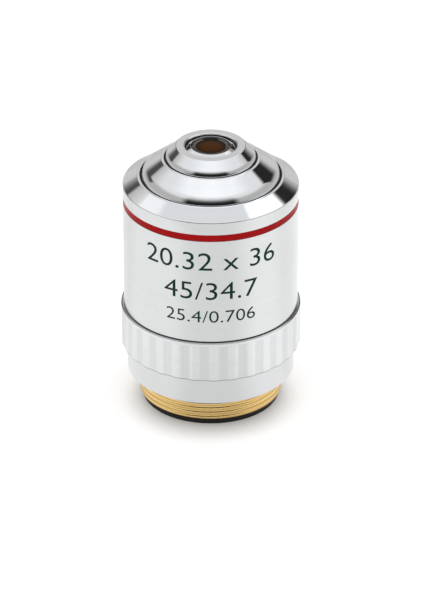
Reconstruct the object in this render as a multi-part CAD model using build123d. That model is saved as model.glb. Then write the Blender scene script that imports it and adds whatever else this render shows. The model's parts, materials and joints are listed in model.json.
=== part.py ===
from build123d import *
import os
from math import isclose, sqrt

# A microscope objective that stands on its rear ring with the nose up.
# The origin is the centre of the rear ring's lower face, +Z runs along the optical axis
# towards the specimen, and every size is in millimetres.

# Mounting thread, over its crests, and the radial steps that lead inward from it
THREAD_DIAMETER = 20.32
THREAD_RELIEF_DEPTH = 0.56
SHOULDER_SEAT = 0.4
SHOULDER_UNDERCUT = 0.1
TUBE_WALL = 1.2
COUNTERBORE_STEP = 0.7
REAR_RING_STEP = 0.41
SPIGOT_WALL = 1.48
BARREL_WALL = 0.78
BARREL_FRONT_SEAT = 1.2

# Radial steps that lead outward from the barrel to the grip
FLANGE_WIDTH = 1.17
NECK_STEP = 0.32
HOUSING_WALL = 1.4
NOSE_GAP = 0.13
NOSE_LIP_WIDTH = 0.48
NOSE_CONE_WIDTH = 2.06
NOSE_OVERHANG = 0.09
SLEEVE_WALL = 1.0
GRIP_STEP = 0.4
BASE_STEP = 0.9
SHADOW_DEPTH = 0.35

# Lengths along the axis, from the rear face up. From shoulder to nose they add up to 34.7, which is
# the 45 mm focus distance less 9.2 mm of working distance and a 1.1 mm cover glass.
REAR_RING_HEIGHT = 1.0
THREAD_LENGTH = 3.5
THREAD_RELIEF_LENGTH = 0.5
BASE_LENGTH = 4.02
GRIP_LENGTH = 6.1
SHADOW_GAP = 0.25
SLEEVE_LENGTH = 18.43
NOSE_RISE = 1.42
HOUSING_RISE = 2.64
FRONT_CELL_RISE = 1.84

# Grip flutes
FLUTE_COUNT = 30
FLUTE_WIDTH = 1.33
FLUTE_DEPTH = 0.2
FLUTE_END_BAND = 0.5
FLUTE_LAND_TURN = 2.0
GRIP_TOP_CHAMFER = 0.35

# Colour band let into the sleeve
BAND_HEIGHT = 1.0
BAND_BELOW_NOSE = 1.78
BAND_GROOVE_DEPTH = 0.25
BAND_SINK = 0.03

# Front cell and the lip of the housing round it
FRONT_CELL_DIAMETER = 12.66
CELL_GAP = 0.12
CELL_SINK = 0.58
CELL_SEAT = 0.43
CELL_WALL = 1.7
CELL_THREAD_LENGTH = 1.6
FRONT_LIP_WIDTH = 0.57
FRONT_LIP = 0.45
FRONT_FACE_WIDTH = 1.24
FRONT_SHOULDER_DROP = 1.35
FRONT_EDGE_RADIUS = 1.0
HOUSING_LIP_WIDTH = 0.5
HOUSING_SHOULDER_DROP = 2.03
HOUSING_EDGE_RADIUS = 2.0

# Lengths inside the casing
COUNTERBORE_DEPTH = 4.5
SPIGOT_LENGTH = 1.6
SLEEVE_FOOT = 1.5
NOSE_SPIGOT = 1.9
FLANGE_BELOW_CREASE = 3.3
FLANGE_THICKNESS = 1.5
SHIM_THICKNESS = 0.2
BARREL_NECK_LENGTH = 2.0
BARREL_FRONT_LIP = 1.2
BARREL_TAIL = 0.5
LOCK_RING_THICKNESS = 1.5

# Fits and edges
SLIDE = 0.02
RUNNING_ROOM = 0.1
EDGE_BREAK = 0.15
THREAD_CHAMFER = 0.35
SLOT_WIDTH = 1.2
SLOT_DEPTH = 0.5

# Lens stack, from the front seat back; the front spacer fills what the others leave
FRONT_DOUBLET_CELL = 3.8
MENISCUS_CELL = 4.0
MIDDLE_SPACER = 1.5
MIDDLE_DOUBLET_CELL = 3.6
STOP_THICKNESS = 0.3
STOP_WIDTH = 2.68
REAR_SPACER = 1.2
REAR_LENS_CELL = 2.4
STACK_RETAINER = 1.2
SPACER_WALL = 1.0
RETAINER_WALL = 1.4
CELL_LIP = 0.4
LENS_RIM = 0.5

# Lenses: walls of their cells, edge or centre thicknesses and surface radii.
# A positive radius bulges outward.
FRONT_LENS_EDGE = 1.1
FRONT_LENS_FRONT_RADIUS = 25.0
FRONT_LENS_REAR_RADIUS = 60.0
FRONT_RETAINER = 0.8
FRONT_DOUBLET_WALL = 1.36
FRONT_CROWN_EDGE = 0.4
FRONT_FLINT_CENTRE = 1.0
FRONT_CROWN_RADIUS = 24.0
FRONT_CEMENT_RADIUS = 15.0
FRONT_FLINT_REAR_RADIUS = 40.0
MENISCUS_WALL = 1.96
MENISCUS_CENTRE = 2.6
MENISCUS_FRONT_RADIUS = 11.0
MENISCUS_REAR_RADIUS = -9.0
MIDDLE_DOUBLET_WALL = 1.76
MIDDLE_FLINT_CENTRE = 0.9
MIDDLE_CROWN_EDGE = 0.3
MIDDLE_FLINT_FRONT_RADIUS = 60.0
MIDDLE_CEMENT_RADIUS = 14.0
MIDDLE_CROWN_REAR_RADIUS = 18.0
REAR_LENS_WALL = 1.86
REAR_LENS_EDGE = 1.0
REAR_LENS_FRONT_RADIUS = 32.0
REAR_LENS_REAR_RADIUS = 45.0

# Phase plate at the back focal plane
PHASE_PLATE_THICKNESS = 1.5
PHASE_CELL_FLOAT = 0.3
PHASE_CELL_WALL = 1.3
PHASE_CELL_LENGTH = 2.6
PHASE_RETAINER = 1.0
PHASE_RECESS = 0.8
CENTRING_SCREW_COUNT = 3
CENTRING_SCREW_DIAMETER = 1.2

# Levels along the axis that follow from the lengths
z_thread = REAR_RING_HEIGHT
z_shoulder = z_thread + THREAD_LENGTH
z_tube_seat = z_shoulder + SHOULDER_UNDERCUT
z_grip = z_shoulder + BASE_LENGTH
z_grip_top = z_grip + GRIP_LENGTH
z_sleeve = z_grip_top + SHADOW_GAP
z_crease = z_sleeve + SLEEVE_LENGTH
z_nose_lip = z_crease + NOSE_RISE
z_housing_lip = z_nose_lip + HOUSING_RISE
z_front = z_housing_lip + FRONT_CELL_RISE
z_band = z_crease - BAND_BELOW_NOSE - BAND_HEIGHT
z_tube_top = z_crease - FLANGE_BELOW_CREASE
z_flange = z_tube_top + SHIM_THICKNESS
z_flange_top = z_flange + FLANGE_THICKNESS
z_barrel_top = z_flange_top + BARREL_NECK_LENGTH
z_stack_seat = z_barrel_top - BARREL_FRONT_LIP
z_step = z_thread + COUNTERBORE_DEPTH
z_lock_ring = z_step - LOCK_RING_THICKNESS
z_barrel = z_lock_ring - BARREL_TAIL
z_phase_retainer = z_barrel + PHASE_RECESS
z_phase_cell = z_phase_retainer + PHASE_RETAINER
z_stack_retainer = z_phase_cell + PHASE_CELL_LENGTH
z_rear_cell = z_stack_retainer + STACK_RETAINER
z_rear_spacer = z_rear_cell + REAR_LENS_CELL
z_stop = z_rear_spacer + REAR_SPACER
z_middle_cell = z_stop + STOP_THICKNESS
z_middle_spacer = z_middle_cell + MIDDLE_DOUBLET_CELL
z_meniscus_cell = z_middle_spacer + MIDDLE_SPACER
z_front_spacer = z_meniscus_cell + MENISCUS_CELL
z_doublet_cell = z_stack_seat - FRONT_DOUBLET_CELL
z_cell_seat = z_housing_lip - CELL_SINK
z_front_seat = z_front - FRONT_LIP

# Radii that follow from the thread, the walls and the fits
thread_r = THREAD_DIAMETER / 2
undercut_r = thread_r + RUNNING_ROOM
relief_r = thread_r - THREAD_RELIEF_DEPTH
rear_ring_r = thread_r - REAR_RING_STEP
tube_r = relief_r - SHOULDER_SEAT
tube_bore_r = tube_r - TUBE_WALL
counterbore_r = tube_bore_r + COUNTERBORE_STEP
rear_spigot_r = counterbore_r - SLIDE
rear_hole_r = rear_spigot_r - SPIGOT_WALL
barrel_r = tube_bore_r - SLIDE
barrel_bore_r = barrel_r - BARREL_WALL
barrel_front_r = barrel_bore_r - BARREL_FRONT_SEAT
stack_r = barrel_bore_r - SLIDE
flange_r = barrel_r + FLANGE_WIDTH
neck_r = barrel_r + NECK_STEP
housing_r = neck_r + SLIDE + HOUSING_WALL
nose_bore_r = housing_r + NOSE_GAP
nose_lip_r = nose_bore_r + NOSE_LIP_WIDTH
nose_r = nose_lip_r + NOSE_CONE_WIDTH
sleeve_r = nose_r - NOSE_OVERHANG
sleeve_bore_r = sleeve_r - SLEEVE_WALL
band_groove_r = sleeve_r - BAND_GROOVE_DEPTH
sleeve_seat_r = sleeve_r - SHADOW_DEPTH
grip_r = sleeve_r + GRIP_STEP
base_r = grip_r - BASE_STEP
cell_r = FRONT_CELL_DIAMETER / 2
cell_recess_r = cell_r + CELL_GAP
housing_lip_r = cell_recess_r + HOUSING_LIP_WIDTH
cell_thread_r = cell_r - CELL_SEAT
front_lens_r = cell_thread_r - CELL_WALL
aperture_r = front_lens_r - FRONT_LIP_WIDTH
front_face_r = aperture_r + FRONT_FACE_WIDTH
front_doublet_r = stack_r - FRONT_DOUBLET_WALL
meniscus_r = stack_r - MENISCUS_WALL
middle_doublet_r = stack_r - MIDDLE_DOUBLET_WALL
rear_lens_r = stack_r - REAR_LENS_WALL
phase_cell_r = barrel_bore_r - PHASE_CELL_FLOAT
phase_plate_r = phase_cell_r - PHASE_CELL_WALL


def turned(*points):
    """A solid turned about Z from (radius, height) corners."""
    outline = make_face(Polyline(*points, close=True))
    return revolve(Plane.XZ * outline, Axis.Z)


def tube(outer_r, inner_r, low, high):
    """A plain ring between two heights."""
    return turned((inner_r, low), (outer_r, low), (outer_r, high), (inner_r, high))


def rim(part, radius, height):
    """The circular edges of a part at one radius and height."""
    def fits(edge):
        same_radius = isclose(edge.radius, radius, abs_tol=1e-4)
        return same_radius and isclose(edge.arc_center.Z, height, abs_tol=1e-4)

    return part.edges().filter_by(GeomType.CIRCLE).filter_by(fits)


def slotted(ring, outer_r, low):
    """A ring with a spanner slot right across its lower face."""
    slot = Box(2 * outer_r + SLOT_WIDTH, SLOT_WIDTH, SLOT_DEPTH)
    return ring - Pos(0, 0, low + SLOT_DEPTH / 2) * slot


# Lenses and their cells
def sag(curve, radius):
    """How far a spherical surface has dropped at a radius, with the sign of its curve."""
    drop = abs(curve) - sqrt(curve ** 2 - radius ** 2)
    return drop if curve > 0 else -drop


def centre_from_edge(edge, radius, front_curve, rear_curve):
    """Centre thickness of a lens that is this thick at its edge."""
    return edge + sag(front_curve, radius) + sag(rear_curve, radius)


def lens(radius, top, thickness, front_curve, rear_curve):
    """A lens whose front vertex is at height top."""
    low = top - thickness
    front_edge = (radius, top - sag(front_curve, radius))
    front_mid = (radius / 2, top - sag(front_curve, radius / 2))
    rear_edge = (radius, low + sag(rear_curve, radius))
    rear_mid = (radius / 2, low + sag(rear_curve, radius / 2))
    outline = Curve() + [
        ThreePointArc((0, top), front_mid, front_edge),
        Line(front_edge, rear_edge),
        ThreePointArc(rear_edge, rear_mid, (0, low)),
        Line((0, low), (0, top)),
    ]
    return revolve(Plane.XZ * make_face(outline), Axis.Z)


def lens_cell(lens_r, low, high):
    """A ring with a bore for its lens and a lip at the front that the lens seats on."""
    bore_r = lens_r + SLIDE
    clear_r = lens_r - LENS_RIM
    seat = high - CELL_LIP
    ring = turned((bore_r, low), (stack_r, low), (stack_r, high), (clear_r, high),
                  (clear_r, seat), (bore_r, seat))
    return chamfer(rim(ring, stack_r, low) + rim(ring, stack_r, high), EDGE_BREAK)


def seated_top(lens_r, curve, cell_top):
    """Height of a bulging front vertex when the surface touches the inner corner of the lip."""
    return cell_top - CELL_LIP + sag(curve, lens_r - LENS_RIM)


# Outer casing
def rear_ring():
    """Black end ring with a spigot in the tube's counterbore and two spanner slots."""
    top = REAR_RING_HEIGHT + SPIGOT_LENGTH
    ring = turned((rear_hole_r, 0), (rear_ring_r, 0), (rear_ring_r, REAR_RING_HEIGHT),
                  (rear_spigot_r, REAR_RING_HEIGHT), (rear_spigot_r, top), (rear_hole_r, top))
    ring = chamfer(rim(ring, rear_ring_r, 0), EDGE_BREAK)
    ring = chamfer(rim(ring, rear_hole_r, 0), 2 * EDGE_BREAK)
    return slotted(ring, rear_ring_r, 0)


def thread_tube():
    """Brass body tube: mounting thread, relief under the shoulder, seat for the barrel flange."""
    z_relief = z_shoulder - THREAD_RELIEF_LENGTH
    body = turned(
        (counterbore_r, z_thread), (thread_r, z_thread), (thread_r, z_relief),
        (relief_r, z_relief), (relief_r, z_tube_seat), (tube_r, z_tube_seat),
        (tube_r, z_tube_top), (tube_bore_r, z_tube_top), (tube_bore_r, z_step),
        (counterbore_r, z_step),
    )
    body = chamfer(rim(body, thread_r, z_thread), THREAD_CHAMFER)
    return chamfer(rim(body, tube_r, z_tube_top), EDGE_BREAK)


def flutes():
    """Flat-floored milling cuts round the grip, open at its lower edge."""
    height = GRIP_LENGTH - FLUTE_END_BAND
    cutter = Box(4 * FLUTE_DEPTH, FLUTE_WIDTH, height, align=(Align.MIN, Align.CENTER, Align.MIN))
    first = -90 + FLUTE_LAND_TURN + 180 / FLUTE_COUNT
    places = PolarLocations(grip_r - FLUTE_DEPTH, FLUTE_COUNT, start_angle=first)
    return [Pos(0, 0, z_grip) * place * cutter for place in places]


def grip_base():
    """Shoulder with an undercut over the thread, plain base and fluted grip, in one piece."""
    bore_r = tube_r + SLIDE
    body = turned(
        (bore_r, z_tube_seat), (undercut_r, z_tube_seat), (undercut_r, z_shoulder),
        (base_r, z_shoulder), (base_r, z_grip), (grip_r, z_grip), (grip_r, z_grip_top),
        (sleeve_seat_r, z_grip_top), (sleeve_seat_r, z_sleeve), (bore_r, z_sleeve),
    )
    body = chamfer(rim(body, grip_r, z_grip_top), GRIP_TOP_CHAMFER)
    body = chamfer(rim(body, base_r, z_shoulder), EDGE_BREAK)
    return body - flutes()


def outer_sleeve():
    """Satin barrel cover: a foot on the tube, a thin wall, and a groove for the colour band."""
    foot_r = tube_r + SLIDE
    z_foot = z_sleeve + SLEEVE_FOOT
    z_band_top = z_band + BAND_HEIGHT
    sleeve = turned(
        (foot_r, z_sleeve), (sleeve_r, z_sleeve), (sleeve_r, z_band), (band_groove_r, z_band),
        (band_groove_r, z_band_top), (sleeve_r, z_band_top), (sleeve_r, z_crease),
        (sleeve_bore_r, z_crease), (sleeve_bore_r, z_foot), (foot_r, z_foot),
    )
    return chamfer(rim(sleeve, sleeve_r, z_sleeve), EDGE_BREAK)


def colour_band():
    """Enamel ring that fills the sleeve's groove and tells the magnification."""
    return tube(sleeve_r - BAND_SINK, band_groove_r, z_band, z_band + BAND_HEIGHT)


def nose_cone():
    """Polished cone screwed into the sleeve, with a flat lip round the lens housing."""
    spigot_r = sleeve_bore_r - SLIDE
    z_low = z_crease - NOSE_SPIGOT
    cone = turned(
        (nose_bore_r, z_low), (spigot_r, z_low), (spigot_r, z_crease), (nose_r, z_crease),
        (nose_lip_r, z_nose_lip), (nose_bore_r, z_nose_lip),
    )
    return chamfer(rim(cone, spigot_r, z_low), EDGE_BREAK)


def front_housing():
    """Second tier of the nose: screws onto the barrel's neck and takes the front cell."""
    socket_r = neck_r + SLIDE
    bore_r = cell_thread_r + SLIDE
    z_neck = z_barrel_top + RUNNING_ROOM
    z_wall = z_housing_lip - HOUSING_SHOULDER_DROP
    housing = turned(
        (socket_r, z_flange_top), (housing_r, z_flange_top), (housing_r, z_wall),
        (housing_lip_r, z_housing_lip), (cell_recess_r, z_housing_lip),
        (cell_recess_r, z_cell_seat), (bore_r, z_cell_seat), (bore_r, z_neck),
        (socket_r, z_neck),
    )
    return fillet(rim(housing, housing_r, z_wall), HOUSING_EDGE_RADIUS)


# Front cell
def front_cell():
    """Top tier of the nose: holds the front lens against its front lip."""
    bore_r = front_lens_r + SLIDE
    z_low = z_cell_seat - CELL_THREAD_LENGTH
    z_wall = z_front - FRONT_SHOULDER_DROP
    cell = turned(
        (bore_r, z_low), (cell_thread_r, z_low), (cell_thread_r, z_cell_seat),
        (cell_r, z_cell_seat), (cell_r, z_wall), (front_face_r, z_front), (aperture_r, z_front),
        (aperture_r, z_front_seat), (bore_r, z_front_seat),
    )
    cell = fillet(rim(cell, cell_r, z_wall), FRONT_EDGE_RADIUS)
    return fillet(rim(cell, aperture_r, z_front), EDGE_BREAK)


def front_lens_levels():
    """Front and rear vertex heights of the front lens, which touches the lip's inner corner."""
    top = z_front_seat + sag(FRONT_LENS_FRONT_RADIUS, aperture_r)
    thickness = centre_from_edge(FRONT_LENS_EDGE, front_lens_r, FRONT_LENS_FRONT_RADIUS,
                                 FRONT_LENS_REAR_RADIUS)
    return top, top - thickness


def front_lens():
    """Weak front lens behind the aperture."""
    top, low = front_lens_levels()
    return lens(front_lens_r, top, top - low, FRONT_LENS_FRONT_RADIUS, FRONT_LENS_REAR_RADIUS)


def front_lens_retainer():
    """Screwed ring that presses the front lens forward; its corner touches the rear surface."""
    high = front_lens_levels()[1] + sag(FRONT_LENS_REAR_RADIUS, aperture_r)
    low = high - FRONT_RETAINER
    return slotted(tube(front_lens_r, aperture_r, low, high), front_lens_r, low)


# Barrel and its seat
def lens_barrel():
    """Inner barrel: flange on the tube, neck for the housing, bore for the lens stack."""
    barrel = turned(
        (barrel_bore_r, z_barrel), (barrel_r, z_barrel), (barrel_r, z_flange),
        (flange_r, z_flange), (flange_r, z_flange_top), (neck_r, z_flange_top),
        (neck_r, z_barrel_top), (barrel_front_r, z_barrel_top), (barrel_front_r, z_stack_seat),
        (barrel_bore_r, z_stack_seat),
    )
    return barrel - at_screw_places(Cylinder(CENTRING_SCREW_DIAMETER / 2, barrel_r))


def parfocal_shim():
    """Thin ring that sets the focus distance between flange and tube."""
    return tube(flange_r, tube_bore_r, z_tube_top, z_flange)


def barrel_lock_ring():
    """Ring nut on the barrel's tail that draws the flange down on the shim."""
    outer_r = counterbore_r - RUNNING_ROOM
    return slotted(tube(outer_r, barrel_r, z_lock_ring, z_step), outer_r, z_lock_ring)


# Lens stack
def spacer(low, high):
    """A distance tube in the barrel's bore."""
    return tube(stack_r, stack_r - SPACER_WALL, low, high)


def front_doublet_levels():
    """Front vertex and cement vertex heights of the front doublet."""
    top = seated_top(front_doublet_r, FRONT_CROWN_RADIUS, z_stack_seat)
    crown = centre_from_edge(FRONT_CROWN_EDGE, front_doublet_r, FRONT_CROWN_RADIUS,
                             FRONT_CEMENT_RADIUS)
    return top, top - crown


def front_doublet_cell():
    """Cell of the cemented front doublet."""
    return lens_cell(front_doublet_r, z_doublet_cell, z_stack_seat)


def front_doublet_crown():
    """Biconvex crown element of the front doublet."""
    top, cement = front_doublet_levels()
    return lens(front_doublet_r, top, top - cement, FRONT_CROWN_RADIUS, FRONT_CEMENT_RADIUS)


def front_doublet_flint():
    """Flint element cemented behind the crown."""
    cement = front_doublet_levels()[1]
    return lens(front_doublet_r, cement, FRONT_FLINT_CENTRE, -FRONT_CEMENT_RADIUS,
                FRONT_FLINT_REAR_RADIUS)


def front_spacer():
    """Distance tube that closes the stack between the doublet and the meniscus."""
    return spacer(z_front_spacer, z_doublet_cell)


def meniscus_cell():
    """Cell of the thick meniscus."""
    return lens_cell(meniscus_r, z_meniscus_cell, z_front_spacer)


def field_meniscus():
    """Thick meniscus that flattens the field."""
    top = seated_top(meniscus_r, MENISCUS_FRONT_RADIUS, z_front_spacer)
    return lens(meniscus_r, top, MENISCUS_CENTRE, MENISCUS_FRONT_RADIUS, MENISCUS_REAR_RADIUS)


def middle_spacer():
    """Distance tube between the meniscus and the middle doublet."""
    return spacer(z_middle_spacer, z_meniscus_cell)


def middle_doublet_cell():
    """Cell of the cemented middle doublet."""
    return lens_cell(middle_doublet_r, z_middle_cell, z_middle_spacer)


def middle_doublet_top():
    """Front vertex height of the middle doublet."""
    return seated_top(middle_doublet_r, MIDDLE_FLINT_FRONT_RADIUS, z_middle_spacer)


def middle_doublet_flint():
    """Leading flint element of the middle doublet, hollow at its rear."""
    return lens(middle_doublet_r, middle_doublet_top(), MIDDLE_FLINT_CENTRE,
                MIDDLE_FLINT_FRONT_RADIUS, -MIDDLE_CEMENT_RADIUS)


def middle_doublet_crown():
    """Biconvex crown element cemented into the flint's hollow."""
    thickness = centre_from_edge(MIDDLE_CROWN_EDGE, middle_doublet_r, MIDDLE_CEMENT_RADIUS,
                                 MIDDLE_CROWN_REAR_RADIUS)
    return lens(middle_doublet_r, middle_doublet_top() - MIDDLE_FLINT_CENTRE, thickness,
                MIDDLE_CEMENT_RADIUS, MIDDLE_CROWN_REAR_RADIUS)


def aperture_stop():
    """Thin blackened stop behind the middle doublet."""
    return tube(stack_r, stack_r - STOP_WIDTH, z_stop, z_middle_cell)


def rear_spacer():
    """Distance tube between the stop and the rear lens."""
    return spacer(z_rear_spacer, z_stop)


def rear_lens_cell():
    """Cell of the rear lens."""
    return lens_cell(rear_lens_r, z_rear_cell, z_rear_spacer)


def rear_lens():
    """Biconvex rear lens."""
    top = seated_top(rear_lens_r, REAR_LENS_FRONT_RADIUS, z_rear_spacer)
    thickness = centre_from_edge(REAR_LENS_EDGE, rear_lens_r, REAR_LENS_FRONT_RADIUS,
                                 REAR_LENS_REAR_RADIUS)
    return lens(rear_lens_r, top, thickness, REAR_LENS_FRONT_RADIUS, REAR_LENS_REAR_RADIUS)


def retainer(low, high):
    """A slotted ring screwed into the barrel's bore."""
    return slotted(tube(stack_r, stack_r - RETAINER_WALL, low, high), stack_r, low)


def lens_stack_retainer():
    """Screwed ring that presses the whole stack against the barrel's front lip."""
    return retainer(z_stack_retainer, z_rear_cell)


# Phase plate group
def phase_cell():
    """Floating cell of the phase plate, centred by three screws."""
    bore_r = phase_plate_r + SLIDE
    clear_r = phase_plate_r - LENS_RIM
    high = z_stack_retainer
    seat = high - CELL_LIP
    return turned((bore_r, z_phase_cell), (phase_cell_r, z_phase_cell), (phase_cell_r, high),
                  (clear_r, high), (clear_r, seat), (bore_r, seat))


def phase_plate():
    """Plane glass disc that carries the phase ring, against the lip of its cell."""
    high = z_stack_retainer - CELL_LIP
    low = high - PHASE_PLATE_THICKNESS
    return turned((0, low), (phase_plate_r, low), (phase_plate_r, high), (0, high))


def phase_retainer():
    """Screwed ring that holds the phase cell from the rear."""
    return retainer(z_phase_retainer, z_phase_cell)


def at_screw_places(tool):
    """Copies of an upright tool laid along each centring screw, with its foot at the axis."""
    height = z_phase_cell + PHASE_CELL_LENGTH / 2
    lying = Pos(0, 0, height) * Rot(0, 90, 0) * Pos(0, 0, barrel_r / 2) * tool
    return [Rot(0, 0, 360 / CENTRING_SCREW_COUNT * index) * lying
            for index in range(CENTRING_SCREW_COUNT)]


def centring_screws():
    """Grub screws through the barrel wall that bear on the phase cell."""
    length = barrel_r - EDGE_BREAK - phase_cell_r
    slot = Pos(0, 0, length / 2) * Box(CENTRING_SCREW_DIAMETER, SLOT_WIDTH / 4, 2 * EDGE_BREAK)
    screw = Cylinder(CENTRING_SCREW_DIAMETER / 2, length) - slot
    screw = Pos(0, 0, phase_cell_r + length / 2 - barrel_r / 2) * screw
    return Compound(children=[place.solid() for place in at_screw_places(screw)])


PIECES = [
    rear_ring, thread_tube, grip_base, outer_sleeve, colour_band, nose_cone, front_housing,
    front_cell, front_lens, front_lens_retainer, lens_barrel, parfocal_shim, barrel_lock_ring,
    front_doublet_cell, front_doublet_crown, front_doublet_flint, front_spacer, meniscus_cell,
    field_meniscus, middle_spacer, middle_doublet_cell, middle_doublet_flint,
    middle_doublet_crown, aperture_stop, rear_spacer, rear_lens_cell, rear_lens,
    lens_stack_retainer, phase_cell, phase_plate, phase_retainer, centring_screws,
]

os.makedirs("parts", exist_ok=True)
for piece in PIECES:
    export_step(piece(), f"parts/{piece.__name__}.step")
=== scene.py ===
"""Looks of a microscope objective, dressed over its packed construction.

The object stands on its rear ring with the nose up. Lengths are in metres, +Z is the optical
axis and the camera looks from -Y. Every piece is built round Z from sizes that the frame gives.
"""
import json
import logging
import math
from dataclasses import dataclass, field
from enum import Enum

import bmesh
import bpy
import numpy as np
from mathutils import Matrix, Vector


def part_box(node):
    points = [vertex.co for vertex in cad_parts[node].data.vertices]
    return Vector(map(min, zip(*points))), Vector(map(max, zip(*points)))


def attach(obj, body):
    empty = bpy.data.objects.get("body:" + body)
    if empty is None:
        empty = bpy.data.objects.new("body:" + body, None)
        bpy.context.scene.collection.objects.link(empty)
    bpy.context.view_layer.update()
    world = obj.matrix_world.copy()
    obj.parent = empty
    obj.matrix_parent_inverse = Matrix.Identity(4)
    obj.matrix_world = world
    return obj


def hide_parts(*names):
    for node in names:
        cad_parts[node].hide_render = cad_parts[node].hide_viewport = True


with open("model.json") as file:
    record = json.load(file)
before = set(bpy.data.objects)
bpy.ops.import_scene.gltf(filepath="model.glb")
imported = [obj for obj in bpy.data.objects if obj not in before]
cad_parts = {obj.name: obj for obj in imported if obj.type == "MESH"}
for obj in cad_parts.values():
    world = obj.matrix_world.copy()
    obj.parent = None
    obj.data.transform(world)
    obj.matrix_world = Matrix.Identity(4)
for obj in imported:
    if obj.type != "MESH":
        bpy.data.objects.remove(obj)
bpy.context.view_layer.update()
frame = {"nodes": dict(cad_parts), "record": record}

LOG = logging.getLogger("objective")
MM = 0.001
BODY = "root"
TAU = 2.0 * math.pi
SHARP_ANGLE = math.radians(32.0)


# Turned shapes
@dataclass(frozen=True)
class Corner:
    """A corner of a turned outline: its radius and height, and how far it is rounded."""

    r: float
    z: float
    rounding: float = 0.0


def arc_at(before: Corner, corner: Corner, after: Corner, steps: int) -> np.ndarray:
    """Points of the arc that rounds a corner.

    The arc's centre lies on the corner's bisector, rounding / sin(half angle) away, and the
    points turn evenly about it from one side to the other.

    Args:
        before: The corner ahead of this one.
        corner: The corner that is rounded.
        after: The corner that follows.
        steps: How many stretches the arc has.

    Returns:
        An array of (radius, height) rows.
    """
    at = np.array([corner.r, corner.z])
    u = np.array([before.r, before.z]) - at
    v = np.array([after.r, after.z]) - at
    u /= np.linalg.norm(u)
    v /= np.linalg.norm(v)
    half = math.acos(float(np.clip(u @ v, -1.0, 1.0))) / 2.0
    middle = (u + v) / np.linalg.norm(u + v)
    centre = at + middle * corner.rounding / math.sin(half)
    start = at + u * corner.rounding / math.tan(half) - centre
    end = at + v * corner.rounding / math.tan(half) - centre
    turn = math.atan2(start[0] * end[1] - start[1] * end[0], float(start @ end))
    angles = np.linspace(0.0, turn, steps + 1)
    spun_r = start[0] * np.cos(angles) - start[1] * np.sin(angles)
    spun_z = start[0] * np.sin(angles) + start[1] * np.cos(angles)
    return centre + np.stack([spun_r, spun_z], axis=1)


def outline(corners: list[Corner], steps: int = 5, closed: bool = True) -> np.ndarray:
    """The outline of a ring or of a part of it, with its rounded corners as arcs.

    Args:
        corners: The corners, going up the outer side and down the inner side.
        steps: How many stretches each arc has.
        closed: Whether the last corner leads back to the first.

    Returns:
        An array of (radius, height) rows.
    """
    rows = []
    for index, corner in enumerate(corners):
        if corner.rounding > 0.0:
            after = corners[(index + 1) % len(corners)]
            rows.append(arc_at(corners[index - 1], corner, after, steps))
        else:
            rows.append(np.array([[corner.r, corner.z]]))
    return held_flat(np.concatenate(rows), closed)


def held_flat(rows: np.ndarray, closed: bool, margin: float = 0.02 * MM) -> np.ndarray:
    """The same outline with extra points a margin inside the ends of each long stretch.

    They keep the smooth shading of the arcs off the straight parts, so that a cone mirrors as
    a true cone. A point lies at start + (end - start) * margin / length from either end. A
    stretch counts as long from six margins on.

    Args:
        rows: The outline.
        closed: Whether its last point leads back to its first.
        margin: How far inside the ends the points lie.

    Returns:
        The longer outline.
    """
    ends = np.roll(rows, -1, axis=0)
    lengths = np.linalg.norm(ends - rows, axis=1, keepdims=True)
    long_enough = 6.0 * margin
    share = margin / np.maximum(lengths, margin)
    inner = rows + (ends - rows) * share
    outer = ends - (ends - rows) * share
    trio = np.stack([rows, inner, outer], axis=1)
    keep = np.ones(trio.shape[:2], bool)
    keep[:, 1:] = lengths > long_enough
    keep[-1, 1:] &= closed
    return trio[keep]


def around(count: int) -> np.ndarray:
    """Evenly spaced angles round the axis, in radians."""
    return np.arange(count) * (TAU / count)


def mesh_from_grid(name: str, radii: np.ndarray, heights: np.ndarray, angles: np.ndarray,
                   closed: bool) -> bpy.types.Object:
    """A piece whose point at row i and angle j is (radius cos, radius sin, height).

    Columns close round the axis. A closed piece also joins its last row to its first. An open
    one ends in a pole at each end, where a fan of triangles closes it.

    Args:
        name: The piece's name.
        radii: Radii, one row per outline point and one column per angle.
        heights: Heights of the same shape.
        angles: The column angles.
        closed: Whether the outline closes on itself.

    Returns:
        The new object, riding on the object's only body.
    """
    rows, columns = radii.shape
    points = np.stack([radii * np.cos(angles), radii * np.sin(angles), heights], axis=2)
    first = np.arange(rows if closed else rows - 1)[:, None]
    across = np.arange(columns)[None, :]
    low = first * columns
    high = ((first + 1) % rows) * columns
    beside = (across + 1) % columns
    quads = np.stack([low + across, low + beside, high + beside, high + across], axis=2)
    faces = quads.reshape(-1, 4).tolist()
    vertices = points.reshape(-1, 3)
    if not closed:
        foot, crown = rows * columns, rows * columns + 1
        poles = np.array([[0.0, 0.0, heights[0].mean()], [0.0, 0.0, heights[-1].mean()]])
        vertices = np.concatenate([vertices, poles])
        top = (rows - 1) * columns
        turn = np.arange(columns)
        beside = (turn + 1) % columns
        faces += np.stack([np.full(columns, foot), beside, turn], axis=1).tolist()
        faces += np.stack([np.full(columns, crown), top + turn, top + beside], axis=1).tolist()
    return piece_from(name, vertices, faces)


def piece_from(name: str, vertices: np.ndarray, faces: list) -> bpy.types.Object:
    """A smooth-shaded object from vertices and faces, with its sharp edges kept.

    Args:
        name: The piece's name.
        vertices: Rows of x, y, z in metres.
        faces: Lists of vertex numbers.

    Returns:
        The object, linked and riding on the body.
    """
    mesh = bpy.data.meshes.new(name)
    mesh.from_pydata(vertices.tolist(), [], faces)
    mesh.polygons.foreach_set("use_smooth", np.ones(len(mesh.polygons), bool))
    mesh.update()
    mesh.set_sharp_from_angle(angle=SHARP_ANGLE)
    piece = bpy.data.objects.new(name, mesh)
    bpy.context.scene.collection.objects.link(piece)
    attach(piece, BODY)
    return piece


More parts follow.
